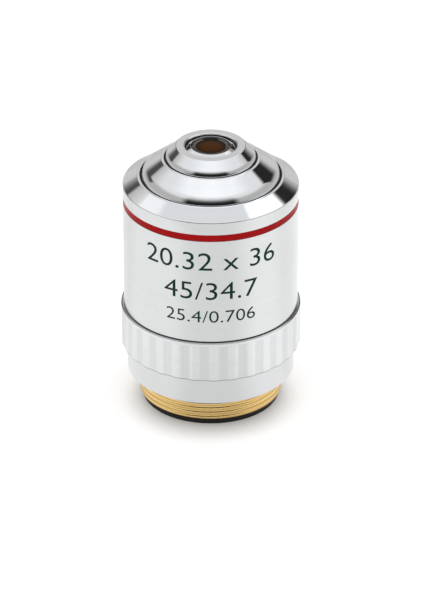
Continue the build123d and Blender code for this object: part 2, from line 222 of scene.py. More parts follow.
def turned(name: str, corners: list[Corner], segments: int = 256,
           steps: int = 5) -> bpy.types.Object:
    """A ring turned about Z: every outline point keeps its radius and height at each angle.

    Args:
        name: The piece's name.
        corners: Outline corners, up the outer side and down the inner side.
        segments: How many columns go round.
        steps: How many stretches each rounded corner has.

    Returns:
        The new piece.
    """
    rows = outline(corners, steps)
    flat = np.ones(segments)
    return mesh_from_grid(name, np.outer(rows[:, 0], flat), np.outer(rows[:, 1], flat),
                          around(segments), True)


# Node helpers
@dataclass(frozen=True)
class Step:
    """A smooth step from one level at low to another at high."""

    low: float
    high: float
    first: float = 0.0
    last: float = 1.0


class Nodes:
    """A node tree with short ways to add and join nodes."""

    def __init__(self, tree: bpy.types.NodeTree) -> None:
        """Takes the tree that nodes go into."""
        self.tree = tree

    def add(self, kind: str, settings: dict | None = None, **inputs: object) -> bpy.types.Node:
        """Adds a node.

        Args:
            kind: The node's type name.
            settings: Properties to set on the node.
            inputs: Socket values or sources, by socket name with _ for a space.

        Returns:
            The new node.
        """
        node = self.tree.nodes.new(kind)
        for key, value in (settings or {}).items():
            setattr(node, key, value)
        for key, value in inputs.items():
            self.feed(node.inputs[key.replace("_", " ")], value)
        return node

    def feed(self, socket: bpy.types.NodeSocket, value: object) -> None:
        """Sets a socket to a value, or links it where the value is another socket."""
        if isinstance(value, bpy.types.NodeSocket):
            self.tree.links.new(value, socket)
        else:
            socket.default_value = value

    def math(self, operation: str, *values: object) -> bpy.types.NodeSocket:
        """The result of a Math node.

        Args:
            operation: The node's operation.
            values: Its inputs in order, numbers or sockets.

        Returns:
            The output socket.
        """
        node = self.tree.nodes.new("ShaderNodeMath")
        node.operation = operation
        for socket, value in zip(node.inputs, values):
            self.feed(socket, value)
        return node.outputs[0]

    def ramp(self, value: object, low: float, high: float, to_low: float = 0.0,
             to_high: float = 1.0) -> bpy.types.NodeSocket:
        """A smooth step of a value from one range to another."""
        node = self.add("ShaderNodeMapRange", {"interpolation_type": "SMOOTHSTEP"}, Value=value)
        node.inputs["From Min"].default_value = low
        node.inputs["From Max"].default_value = high
        node.inputs["To Min"].default_value = to_low
        node.inputs["To Max"].default_value = to_high
        return node.outputs["Result"]

    def mix(self, share: object, first: object, second: object) -> bpy.types.NodeSocket:
        """A colour between two, by a share of the second."""
        node = self.tree.nodes.new("ShaderNodeMix")
        node.data_type = "RGBA"
        self.feed(node.inputs[0], share)
        self.feed(node.inputs[6], first)
        self.feed(node.inputs[7], second)
        return node.outputs[2]

    def from_axis(self, x: bpy.types.NodeSocket, y: bpy.types.NodeSocket) -> bpy.types.NodeSocket:
        """The distance from the axis, the root of x^2 + y^2."""
        square = self.math("ADD", self.math("MULTIPLY", x, x), self.math("MULTIPLY", y, y))
        return self.math("SQRT", square)

    def length(self, vector: bpy.types.NodeSocket) -> bpy.types.NodeSocket:
        """The length of a vector."""
        node = self.add("ShaderNodeVectorMath", {"operation": "LENGTH"})
        self.feed(node.inputs[0], vector)
        return node.outputs["Value"]

    def step(self, value: object, step: Step) -> bpy.types.NodeSocket:
        """A named smooth step of a value."""
        return self.ramp(value, step.low, step.high, step.first, step.last)

    def window(self, value: object, low: Step, high: Step) -> bpy.types.NodeSocket:
        """The product of a rising and a falling step."""
        return self.math("MULTIPLY", self.step(value, low), self.step(value, high))

    def mirrored(self) -> tuple[bpy.types.NodeSocket, bpy.types.NodeSocket]:
        """Whether a ray comes from a mirror or through glass, and whether from the camera."""
        path = self.add("ShaderNodeLightPath")
        mirror = self.math("MAXIMUM", path.outputs["Is Glossy Ray"],
                           path.outputs["Is Transmission Ray"])
        return mirror, path.outputs["Is Camera Ray"]


def rgba(colour: tuple[float, float, float]) -> tuple[float, float, float, float]:
    """A colour with full alpha."""
    return (*colour, 1.0)


def new_group(name: str, inputs: dict[str, float], outputs: list[str]) -> tuple:
    """An empty shader node group with float sockets and a vector input for the place.

    Args:
        name: The group's name.
        inputs: Float inputs and their defaults.
        outputs: Names of float outputs.

    Returns:
        The tree, its input node and its output node.
    """
    tree = bpy.data.node_groups.new(name, "ShaderNodeTree")
    tree.interface.new_socket("Place", in_out="INPUT", socket_type="NodeSocketVector")
    for key, value in inputs.items():
        socket = tree.interface.new_socket(key, in_out="INPUT", socket_type="NodeSocketFloat")
        socket.default_value = value
    for key in outputs:
        tree.interface.new_socket(key, in_out="OUTPUT", socket_type="NodeSocketFloat")
    return tree, tree.nodes.new("NodeGroupInput"), tree.nodes.new("NodeGroupOutput")


def lathe_grain() -> bpy.types.NodeTree:
    """Turning marks: noise that changes fast with radius and height and slowly round the axis.

    The noise is read at (x k + r s, y k, z s), where r is the distance from the axis, s the
    marks per metre and k the slow change round the axis, so nothing meets at a seam.

    Returns:
        A group with outputs Height, from 0 to 1, and Streaks, a broader mask.
    """
    tree, source, result = new_group("lathe_grain", {"Marks": 9000.0, "Drift": 60.0},
                                     ["Height", "Streaks"])
    nodes = Nodes(tree)
    x, y, z = nodes.add("ShaderNodeSeparateXYZ", Vector=source.outputs["Place"]).outputs
    marks, drift = source.outputs["Marks"], source.outputs["Drift"]
    r = nodes.from_axis(x, y)
    for key, share in (("Height", 1.0), ("Streaks", 0.18)):
        speed = nodes.math("MULTIPLY", marks, share)
        place = nodes.add("ShaderNodeCombineXYZ")
        across = nodes.math("MULTIPLY_ADD", x, drift, nodes.math("MULTIPLY", r, speed))
        nodes.feed(place.inputs[0], across)
        nodes.feed(place.inputs[1], nodes.math("MULTIPLY", y, drift))
        nodes.feed(place.inputs[2], nodes.math("MULTIPLY", z, speed))
        noise = nodes.add("ShaderNodeTexNoise", Vector=place.outputs[0], Scale=1.0, Detail=3.0,
                          Roughness=0.6)
        nodes.feed(result.inputs[key], noise.outputs["Fac"])
    return tree


def handling_haze() -> bpy.types.NodeTree:
    """Faint cloudy smears from handling and polishing.

    Two noises of different size are multiplied and stepped smoothly, so that most of the
    surface stays clear.

    Returns:
        A group with output Haze, from 0 to 1.
    """
    tree, source, result = new_group("handling_haze", {"Size": 180.0}, ["Haze"])
    nodes = Nodes(tree)
    broad = nodes.add("ShaderNodeTexNoise", Vector=source.outputs["Place"],
                      Scale=source.outputs["Size"], Detail=4.0, Distortion=0.6)
    fine = nodes.add("ShaderNodeTexNoise", Vector=source.outputs["Place"],
                     Scale=nodes.math("MULTIPLY", source.outputs["Size"], 7.0), Detail=2.0)
    both = nodes.math("MULTIPLY", broad.outputs["Fac"], fine.outputs["Fac"])
    nodes.feed(result.inputs["Haze"], nodes.ramp(both, 0.22, 0.40))
    return tree


def pitted_grain() -> bpy.types.NodeTree:
    """Fine matt grain of blasted or anodised metal: small noise plus sparse pits.

    Returns:
        A group with outputs Height and Specks, both from 0 to 1.
    """
    tree, source, result = new_group("pitted_grain", {"Fineness": 9000.0}, ["Height", "Specks"])
    nodes = Nodes(tree)
    grain = nodes.add("ShaderNodeTexNoise", Vector=source.outputs["Place"],
                      Scale=source.outputs["Fineness"], Detail=2.0)
    pits = nodes.add("ShaderNodeTexVoronoi", Vector=source.outputs["Place"],
                     Scale=nodes.math("MULTIPLY", source.outputs["Fineness"], 0.35))
    nodes.feed(result.inputs["Height"], grain.outputs["Fac"])
    nodes.feed(result.inputs["Specks"], nodes.ramp(pits.outputs["Distance"], 0.22, 0.05))
    return tree


# Finishes
class Slot(Enum):
    """Material slots of the record."""

    SATIN = "satin_chrome"
    POLISHED = "polished_chrome"
    BRASS = "brass"
    BLACK = "black_metal"
    RED = "red_enamel"
    GLASS = "optical_glass"
    COATED = "coated_glass"
    STEEL = "steel"


class Finish:
    """Common part of every finish: a material with one Principled shader."""

    name: str

    def build(self, groups: dict[str, bpy.types.NodeTree]) -> bpy.types.Material:
        """Makes the material.

        Args:
            groups: The shared effects by name.

        Returns:
            The finished material.
        """
        material = bpy.data.materials.new(self.name)
        material.use_nodes = True
        nodes = Nodes(material.node_tree)
        shader = material.node_tree.nodes["Principled BSDF"]
        place = nodes.add("ShaderNodeTexCoord").outputs["Object"]
        self.dress(nodes, shader, place, groups)
        return material

    def dress(self, nodes: Nodes, shader: bpy.types.Node, place: bpy.types.NodeSocket,
              groups: dict[str, bpy.types.NodeTree]) -> None:
        """Sets the shader's sockets; each finish has its own way."""
        raise NotImplementedError


def effect(nodes: Nodes, groups: dict[str, bpy.types.NodeTree], name: str,
           place: bpy.types.NodeSocket, **values: float) -> bpy.types.Node:
    """A shared effect placed in a material.

    Args:
        nodes: The material's nodes.
        groups: The shared effects by name.
        name: Which effect.
        place: The Object coordinates.
        values: Its inputs.

    Returns:
        The group node.
    """
    node = nodes.add("ShaderNodeGroup", {"node_tree": groups[name]})
    nodes.feed(node.inputs["Place"], place)
    for key, value in values.items():
        node.inputs[key].default_value = value
    return node


@dataclass(frozen=True)
class TurnedMetal(Finish):
    """Bare or plated metal with turning marks and a little haze."""

    name: str
    colour: tuple[float, float, float]
    dark_colour: tuple[float, float, float]
    roughness: float
    rough_spread: float
    marks: float
    mark_depth: float
    anisotropic: float = 0.0

    def dress(self, nodes: Nodes, shader: bpy.types.Node, place: bpy.types.NodeSocket,
              groups: dict[str, bpy.types.NodeTree]) -> None:
        """Mixes two close colours by the streaks, and roughness by grain and haze."""
        grain = effect(nodes, groups, "lathe_grain", place, Marks=self.marks)
        haze = effect(nodes, groups, "handling_haze", place)
        tint = nodes.ramp(grain.outputs["Streaks"], 0.3, 0.7)
        nodes.feed(shader.inputs["Base Color"],
                   nodes.mix(tint, rgba(self.dark_colour), rgba(self.colour)))
        shader.inputs["Metallic"].default_value = 1.0
        shader.inputs["Anisotropic"].default_value = self.anisotropic
        both = nodes.math("ADD", grain.outputs["Streaks"], haze.outputs["Haze"])
        rough = nodes.math("MULTIPLY_ADD", both, self.rough_spread, self.roughness)
        nodes.feed(shader.inputs["Roughness"], rough)
        bump = nodes.add("ShaderNodeBump", Height=grain.outputs["Height"],
                         Distance=self.mark_depth, Strength=1.0)
        nodes.feed(shader.inputs["Normal"], bump.outputs["Normal"])


@dataclass(frozen=True)
class MilledMetal(TurnedMetal):
    """Turned metal whose flute floors carry painted shade, darker than the lands.

    The plain part below the fluted ring gets the same darker colour, and a painted shade line
    runs along the ring's foot. A floor counts as one down to the shade reach inside the lands.
    """

    # Colours and sizes of the painted shade in the flute floors and along the ring's foot.
    floor_shade_and_base_colour: tuple[float, float, float] = (0.5, 0.5, 0.5)
    foot_shade_colour: tuple[float, float, float] = (0.4, 0.4, 0.4)
    land_radius: float = 0.0
    floor_depth: float = 0.0
    foot: float = 0.0
    foot_shade_band: float = 0.18 * MM
    floor_shade_reach: float = 0.35 * MM
    fade: float = 0.05 * MM
    foot_shade_fade: float = 0.03 * MM

    def dress(self, nodes: Nodes, shader: bpy.types.Node, place: bpy.types.NodeSocket,
              groups: dict[str, bpy.types.NodeTree]) -> None:
        """Paints shade on the floors by distance from the axis, then base and foot line by height.
        """
        super().dress(nodes, shader, place, groups)
        x, y, z = nodes.add("ShaderNodeSeparateXYZ", Vector=place).outputs
        radius = nodes.from_axis(x, y)
        # Painted shade on the flute floors; the plain base below the foot takes the same darker
        # colour.
        inside = self.land_radius - self.floor_shade_reach
        inner = nodes.ramp(radius, inside, inside + self.fade)
        outer = nodes.ramp(radius, self.land_radius - self.floor_depth,
                           self.land_radius - 0.2 * self.floor_depth, 1.0, 0.0)
        plain = shader.inputs["Base Color"].links[0].from_socket
        low = nodes.ramp(z, self.foot - self.fade, self.foot, 1.0, 0.0)
        darkened = nodes.math("MAXIMUM", nodes.math("MULTIPLY", inner, outer), low)
        floor = nodes.mix(darkened, plain, rgba(self.floor_shade_and_base_colour))
        # Painted shade: a darker band along the ring's foot, where the overhang shades it.
        over = nodes.ramp(z, self.foot - self.foot_shade_fade, self.foot)
        under = nodes.ramp(z, self.foot + self.foot_shade_band, self.foot + 1.6 * self.foot_shade_band,
                           1.0, 0.0)
        nodes.feed(shader.inputs["Base Color"],
                   nodes.mix(nodes.math("MULTIPLY", over, under), floor,
                             rgba(self.foot_shade_colour)))


@dataclass(frozen=True)
class MattBlack(Finish):
    """Black anodised or blackened metal with a fine grain."""

    name: str
    colour: tuple[float, float, float]
    speck_colour: tuple[float, float, float]
    roughness: float

    def dress(self, nodes: Nodes, shader: bpy.types.Node, place: bpy.types.NodeSocket,
              groups: dict[str, bpy.types.NodeTree]) -> None:
        """Adds paler specks to the colour and the grain to roughness and bump."""
        pits = effect(nodes, groups, "pitted_grain", place)
        grain = effect(nodes, groups, "lathe_grain", place, Marks=6000.0)
        nodes.feed(shader.inputs["Base Color"],
                   nodes.mix(pits.outputs["Specks"], rgba(self.colour), rgba(self.speck_colour)))
        shader.inputs["Specular IOR Level"].default_value = 0.15
        rough = nodes.math("MULTIPLY_ADD", grain.outputs["Streaks"], 0.15, self.roughness)
        nodes.feed(shader.inputs["Roughness"], rough)
        height = nodes.math("ADD", pits.outputs["Height"], grain.outputs["Height"])
        bump = nodes.add("ShaderNodeBump", Height=height, Distance=2e-6, Strength=1.0)
        nodes.feed(shader.inputs["Normal"], bump.outputs["Normal"])


@dataclass(frozen=True)
class Enamel(Finish):
    """Enamel or lacquer under a clear coat, with a slight orange peel."""

    name: str
    colour: tuple[float, float, float]
    deep_colour: tuple[float, float, float]
    coat: float = 0.08
    coat_ior: float = 1.5

    def dress(self, nodes: Nodes, shader: bpy.types.Node, place: bpy.types.NodeSocket,
              groups: dict[str, bpy.types.NodeTree]) -> None:
        """Varies the colour a little and lays a clear coat over it."""
        haze = effect(nodes, groups, "handling_haze", place, Size=400.0)
        pits = effect(nodes, groups, "pitted_grain", place, Fineness=2500.0)
        nodes.feed(shader.inputs["Base Color"],
                   nodes.mix(haze.outputs["Haze"], rgba(self.colour), rgba(self.deep_colour)))
        rough = nodes.math("MULTIPLY_ADD", haze.outputs["Haze"], 0.1, 0.3)
        nodes.feed(shader.inputs["Roughness"], rough)
        shader.inputs["Specular IOR Level"].default_value = 0.02
        shader.inputs["Coat Weight"].default_value = self.coat
        shader.inputs["Coat IOR"].default_value = self.coat_ior
        shader.inputs["Coat Roughness"].default_value = 0.12
        bump = nodes.add("ShaderNodeBump", Height=pits.outputs["Height"], Distance=3e-6,
                         Strength=1.0)
        nodes.feed(shader.inputs["Normal"], bump.outputs["Normal"])


@dataclass(frozen=True)
class LensGlass(Finish):
    """Polished glass whose coating tints what it reflects."""

    name: str
    colour: tuple[float, float, float]
    glint: tuple[float, float, float]
    ior: float = 1.52
    clearness: float = 1.0
    rim_share: float = 1.0
    rim_start: float = 0.8 * MM
    rim_end: float = 2.4 * MM

    def dress(self, nodes: Nodes, shader: bpy.types.Node, place: bpy.types.NodeSocket,
              groups: dict[str, bpy.types.NodeTree]) -> None:
        """Clear glass, deeper towards the rim, with the faintest smear in its roughness."""
        haze = effect(nodes, groups, "handling_haze", place, Size=300.0)
        x, y, _ = nodes.add("ShaderNodeSeparateXYZ", Vector=place).outputs
        away = nodes.from_axis(x, y)
        rim = tuple(self.rim_share * part for part in self.colour)
        nodes.feed(shader.inputs["Base Color"],
                   nodes.mix(nodes.ramp(away, self.rim_start, self.rim_end),
                             rgba(self.colour), rgba(rim)))
        nodes.feed(shader.inputs["Roughness"],
                   nodes.math("MULTIPLY_ADD", haze.outputs["Haze"], 0.01, 0.01))
        shader.inputs["Transmission Weight"].default_value = self.clearness
        shader.inputs["IOR"].default_value = self.ior
        shader.inputs["Specular Tint"].default_value = rgba(self.glint)


@dataclass(frozen=True)
class Ink(Finish):
    """Filled engraving: flat paint with slightly uneven cover."""

    name: str
    colour: tuple[float, float, float]
    thin_colour: tuple[float, float, float]

    def dress(self, nodes: Nodes, shader: bpy.types.Node, place: bpy.types.NodeSocket,
              groups: dict[str, bpy.types.NodeTree]) -> None:
        """Mixes the full and the thin colour by small patches."""
        haze = effect(nodes, groups, "handling_haze", place, Size=1500.0)
        nodes.feed(shader.inputs["Base Color"],
                   nodes.mix(haze.outputs["Haze"], rgba(self.colour), rgba(self.thin_colour)))
        nodes.feed(shader.inputs["Roughness"],
                   nodes.math("MULTIPLY_ADD", haze.outputs["Haze"], 0.2, 0.5))
        shader.inputs["Specular IOR Level"].default_value = 0.1


class Finishes:
    """Builds every material once and hands it out by slot."""

    def __init__(self) -> None:
        """Makes the shared effects first, then the materials that use them."""
        groups = {"lathe_grain": lathe_grain(), "handling_haze": handling_haze(),
                  "pitted_grain": pitted_grain()}
        recipes = {
            Slot.SATIN: TurnedMetal(
                "satin_chrome", (0.64, 0.655, 0.655), (0.62, 0.635, 0.635), roughness=0.16,
                rough_spread=0.06, marks=9000.0, mark_depth=5e-8, anisotropic=0.6),
            Slot.POLISHED: TurnedMetal(
                "polished_chrome", (0.95, 0.955, 0.965), (0.93, 0.935, 0.945), roughness=0.015,
                rough_spread=0.035, marks=12000.0, mark_depth=1e-8, anisotropic=0.3),
            Slot.BRASS: TurnedMetal(
                "brass", (0.84, 0.58, 0.225), (0.78, 0.52, 0.19), roughness=0.21,
                rough_spread=0.06, marks=9000.0, mark_depth=5e-8, anisotropic=0.3),
            Slot.BLACK: MattBlack(
                "black_metal", (0.016, 0.013, 0.011), (0.05, 0.045, 0.04), roughness=0.36),
            Slot.RED: Enamel("red_enamel", (0.36, 0.0, 0.001), (0.31, 0.0, 0.0), coat=0.16),
            Slot.GLASS: LensGlass("optical_glass", (0.97, 0.98, 0.97), (0.9, 0.8, 1.0)),
            Slot.COATED: LensGlass(
                "coated_glass", (0.30, 0.10, 0.012), (1.0, 0.7, 0.4), ior=1.1, clearness=0.82,
                rim_share=0.25),
            Slot.STEEL: TurnedMetal(
                "steel", (0.56, 0.56, 0.57), (0.48, 0.48, 0.49), roughness=0.25,
                rough_spread=0.1, marks=7000.0, mark_depth=5e-7, anisotropic=0.2),
        }
        self.materials = {slot: recipe.build(groups) for slot, recipe in recipes.items()}
        # The grip's finish paints shade into the flute floors and along the ring's foot.
        self.milled = MilledMetal(
            "milled_chrome", (0.685, 0.695, 0.70), (0.655, 0.665, 0.67), roughness=0.17,
            rough_spread=0.05, marks=5000.0, mark_depth=5e-8, anisotropic=0.2,
            floor_shade_and_base_colour=(0.615, 0.625, 0.63), foot_shade_colour=(0.40, 0.41, 0.41),
            land_radius=reach("grip_base"), floor_depth=Grip.flute_depth,
            foot=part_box("grip_base")[0].z + Grip.ring_foot).build(groups)
        self.lacquer = Enamel("black_lacquer", (0.012, 0.009, 0.006), (0.02, 0.015, 0.01),
                              coat=1.0, coat_ior=1.6).build(groups)
        self.ink = Ink("green_ink", (0.004, 0.032, 0.018), (0.008, 0.045, 0.027)).build(groups)

    def apply(self, piece: bpy.types.Object, slot: Slot,
              own: bpy.types.Material | None = None) -> bpy.types.Object:
        """Gives a piece one material, as a rule the slot's.

        Args:
            piece: The piece.
            slot: The record's slot.
            own: A material to use in place of the slot's.

        Returns:
            The same piece.
        """
        piece.data.materials.clear()
        piece.data.materials.append(own or self.materials[slot])
        return piece


# Sub-assemblies
@dataclass
class Levels:
    """Heights that the frame gives, in metres."""

    thread: float = field(init=False)
    shoulder: float = field(init=False)
    sleeve: float = field(init=False)
    crease: float = field(init=False)
    nose_lip: float = field(init=False)
    housing_lip: float = field(init=False)
    front: float = field(init=False)

    def __post_init__(self) -> None:
        """Reads the levels off the CAD nodes' boxes."""
        self.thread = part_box("thread_tube")[0].z
        self.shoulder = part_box("grip_base")[0].z
        self.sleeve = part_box("outer_sleeve")[0].z
        self.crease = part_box("outer_sleeve")[1].z
        self.nose_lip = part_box("nose_cone")[1].z
        self.housing_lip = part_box("front_housing")[1].z
        self.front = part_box("front_cell")[1].z


def reach(node: str) -> float:
    """The outer radius of a turned CAD node."""
    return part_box(node)[1].x


def sag(curve: float, radius: np.ndarray | float) -> np.ndarray | float:
    """How far a sphere falls back at a distance from its vertex: R - sqrt(R^2 - r^2)."""
    return curve - np.sqrt(curve ** 2 - radius ** 2)


@dataclass
class Nose:
    """The three polished tiers, the front lens with its rings, and black rings of painted shade in
    the gaps.
    """

    levels: Levels
    finishes: Finishes
    gap: float = 0.2 * MM
    lip_width: float = 0.41 * MM
    overhang: float = 0.09 * MM
    cell_gap: float = 0.2 * MM
    cell_sink: float = 0.58 * MM
    housing_lip_width: float = 0.42 * MM
    housing_drop: float = 2.03 * MM
    housing_round: float = 2.0 * MM
    cell_drop: float = 1.38 * MM
    cell_round: float = 1.15 * MM
    shade_ring_depth: float = 0.22 * MM
    shade_ring_foot: float = 0.1 * MM
    shade_ring_play: float = 0.004 * MM
    aperture: float = 3.63 * MM
    face_width: float = 1.24 * MM
    front_lip: float = 0.45 * MM
    lens_radius: float = 4.2 * MM
    edge: float = 0.07 * MM
    ring_edge: float = 0.02 * MM
    bezel_edge: float = 0.03 * MM
    foot_round: float = 0.15 * MM
    foot_rise: float = 0.06 * MM
    bezel_bore: float = 2.8 * MM
    bezel_depth: float = 0.04 * MM
    bezel_drop: float = 0.37 * MM
    stop_bore: float = 2.1 * MM
    stop_rise: float = 0.08 * MM
    liner: float = 0.04 * MM
    liner_foot: float = 0.2 * MM
    rim_round: float = 0.2 * MM
    cone_spigot: float = 1.02 * MM
    housing_spigot: float = 0.41 * MM
    cell_spigot: float = 0.43 * MM
    clearance: float = 0.01 * MM
    front_curve: float = 25.0 * MM
    rear_curve: float = 60.0 * MM

    def cone(self) -> bpy.types.Object:
        """The lowest tier: a cone from the sleeve up to a flat lip."""
        bore = reach("front_housing") + self.gap
        lip = bore + self.lip_width
        outer = reach("nose_cone")
        z = self.levels
        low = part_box("nose_cone")[0].z
        spigot = reach("outer_sleeve") - self.cone_spigot
        corners = [
            Corner(bore, low), Corner(spigot, low), Corner(spigot, z.crease),
            Corner(outer - 0.5 * self.overhang, z.crease),
            Corner(outer, z.crease + self.foot_rise, self.foot_round),
            Corner(lip, z.nose_lip, self.edge), Corner(bore, z.nose_lip, self.edge),
        ]
        piece = turned("nose_cone_polished", corners, 384, 4)
        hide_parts("nose_cone")
        return self.finishes.apply(piece, Slot.POLISHED)

    def housing(self) -> bpy.types.Object:
        """The middle tier, rounded between wall and cone."""
        outer = reach("front_housing")
        recess = reach("front_cell") + self.cell_gap
        lip = recess + self.housing_lip_width
        z = self.levels
        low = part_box("front_housing")[0].z
        seat = z.housing_lip - self.cell_sink
        bore = reach("front_cell") - self.housing_spigot
        corners = [
            Corner(bore, low), Corner(outer, low),
            Corner(outer, z.housing_lip - self.housing_drop, self.housing_round),
            Corner(lip, z.housing_lip, self.edge), Corner(recess, z.housing_lip, self.edge),
            Corner(recess, seat), Corner(bore, seat),
        ]
        piece = turned("front_housing_polished", corners, 384, 14)
        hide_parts("front_housing")
        return self.finishes.apply(piece, Slot.POLISHED)

    def cell(self) -> bpy.types.Object:
        """The top tier with the aperture's rolled edge."""
        outer = reach("front_cell")
        z = self.levels
        low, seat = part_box("front_cell")[0].z, z.housing_lip - self.cell_sink
        thread = outer - self.cell_spigot
        bore = self.lens_radius + 2.0 * self.clearance
        front_seat = z.front - self.front_lip
        face = self.aperture + self.face_width
        corners = [
            Corner(bore, low), Corner(thread, low), Corner(thread, seat), Corner(outer, seat),
            Corner(outer, z.front - self.cell_drop, self.cell_round),
            Corner(face, z.front, 3 * self.edge), Corner(self.aperture, z.front, self.rim_round),
            Corner(self.aperture, front_seat), Corner(bore, front_seat),
        ]
        piece = turned("front_cell_polished", corners, 320, 12)
        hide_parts("front_cell")
        return self.finishes.apply(piece, Slot.POLISHED)

    def lens(self) -> bpy.types.Object:
        """The front lens, two spherical caps and a ground rim."""
        low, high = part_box("front_lens")
        segments, rings = 160, 24
        steps = np.linspace(0.02, 1.0, rings) * high.x
        front = high.z - sag(self.front_curve, steps)
        rear = low.z + sag(self.rear_curve, steps)
        radii = np.concatenate([steps, steps[::-1]])
        heights = np.concatenate([rear, front[::-1]])
        flat = np.ones(segments)
        piece = mesh_from_grid("front_lens_coated", np.outer(radii, flat),
                               np.outer(heights, flat), around(segments), False)
        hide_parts("front_lens")
        return self.finishes.apply(piece, Slot.COATED)

    def bezel(self) -> bpy.types.Object:
        """The bright ring on the rim of the glass: a cone that falls outwards."""
        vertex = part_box("front_lens")[1].z
        outer = self.aperture - self.liner - self.clearance
        high = self.levels.front - self.bezel_depth
        inner_foot = vertex - sag(self.front_curve, self.bezel_bore)
        outer_foot = vertex - sag(self.front_curve, outer)
        corners = [
            Corner(self.bezel_bore, inner_foot), Corner(outer, outer_foot),
            Corner(outer, high - self.bezel_drop, self.ring_edge),
            Corner(self.bezel_bore, high, self.bezel_edge),
        ]
        piece = turned("front_bezel", corners, 192, 4)
        return self.finishes.apply(piece, Slot.POLISHED)

    def stop(self) -> bpy.types.Object:
        """The lacquered stop inside the bezel, which lies on the glass and falls outwards."""
        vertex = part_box("front_lens")[1].z
        outer = self.bezel_bore - self.clearance
        inner_foot = vertex - sag(self.front_curve, self.stop_bore)
        outer_foot = vertex - sag(self.front_curve, outer)
        corners = [
            Corner(self.stop_bore, inner_foot), Corner(outer, outer_foot),
            Corner(outer, outer_foot + self.ring_edge),
            Corner(self.stop_bore, inner_foot + self.stop_rise, self.ring_edge),
        ]
        piece = turned("front_stop", corners, 192, 4)
        return self.finishes.apply(piece, Slot.BLACK, self.finishes.lacquer)

    def bore_liner(self) -> bpy.types.Object:
        """Blackening on the wall of the aperture, as a thin tube."""
        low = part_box("front_lens")[1].z - self.liner_foot
        high = self.levels.front - self.rim_round
        inner = self.aperture - self.liner
        corners = [Corner(inner, low), Corner(self.aperture, low), Corner(self.aperture, high),
                   Corner(inner, high)]
        piece = turned("aperture_blackening", corners, 192)
        return self.finishes.apply(piece, Slot.BLACK)

    def gap_shade_ring(self, name: str, inner: float, outer: float, top: float,
                 low: float) -> bpy.types.Object:
        """A black ring set in the narrow gap between two tiers: painted shade that keeps the gap
        dark.

        Args:
            name: The piece's name.
            inner: Its inner radius.
            outer: Its outer radius.
            top: The lip's height, from which it lies back.
            low: Its foot.

        Returns:
            The finished ring.
        """
        high = top - self.shade_ring_depth
        corners = [Corner(inner, low), Corner(outer, low), Corner(outer, high),
                   Corner(inner, high)]
        return self.finishes.apply(turned(name, corners, 256), Slot.BLACK)

    def shade_rings(self) -> list[bpy.types.Object]:
        """Both painted shade rings: round the housing and round the front cell."""
        z = self.levels
        hair = self.shade_ring_play
        housing, cell = reach("front_housing"), reach("front_cell")
        # Black rings in the two gaps, standing in for the shade there.
        return [
            self.gap_shade_ring("housing_gap_seal", housing + hair, housing + self.gap - hair,
                          z.nose_lip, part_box("nose_cone")[0].z + self.shade_ring_foot),
            self.gap_shade_ring("cell_gap_seal", cell + hair, cell + self.cell_gap - hair,
                          z.housing_lip, z.housing_lip - self.cell_sink + hair),
        ]

    def build(self) -> list[bpy.types.Object]:
        """All pieces of the nose."""
        return [self.cone(), self.housing(), self.cell(), self.lens(), self.bezel(),
                self.stop(), self.bore_liner(), *self.shade_rings()]


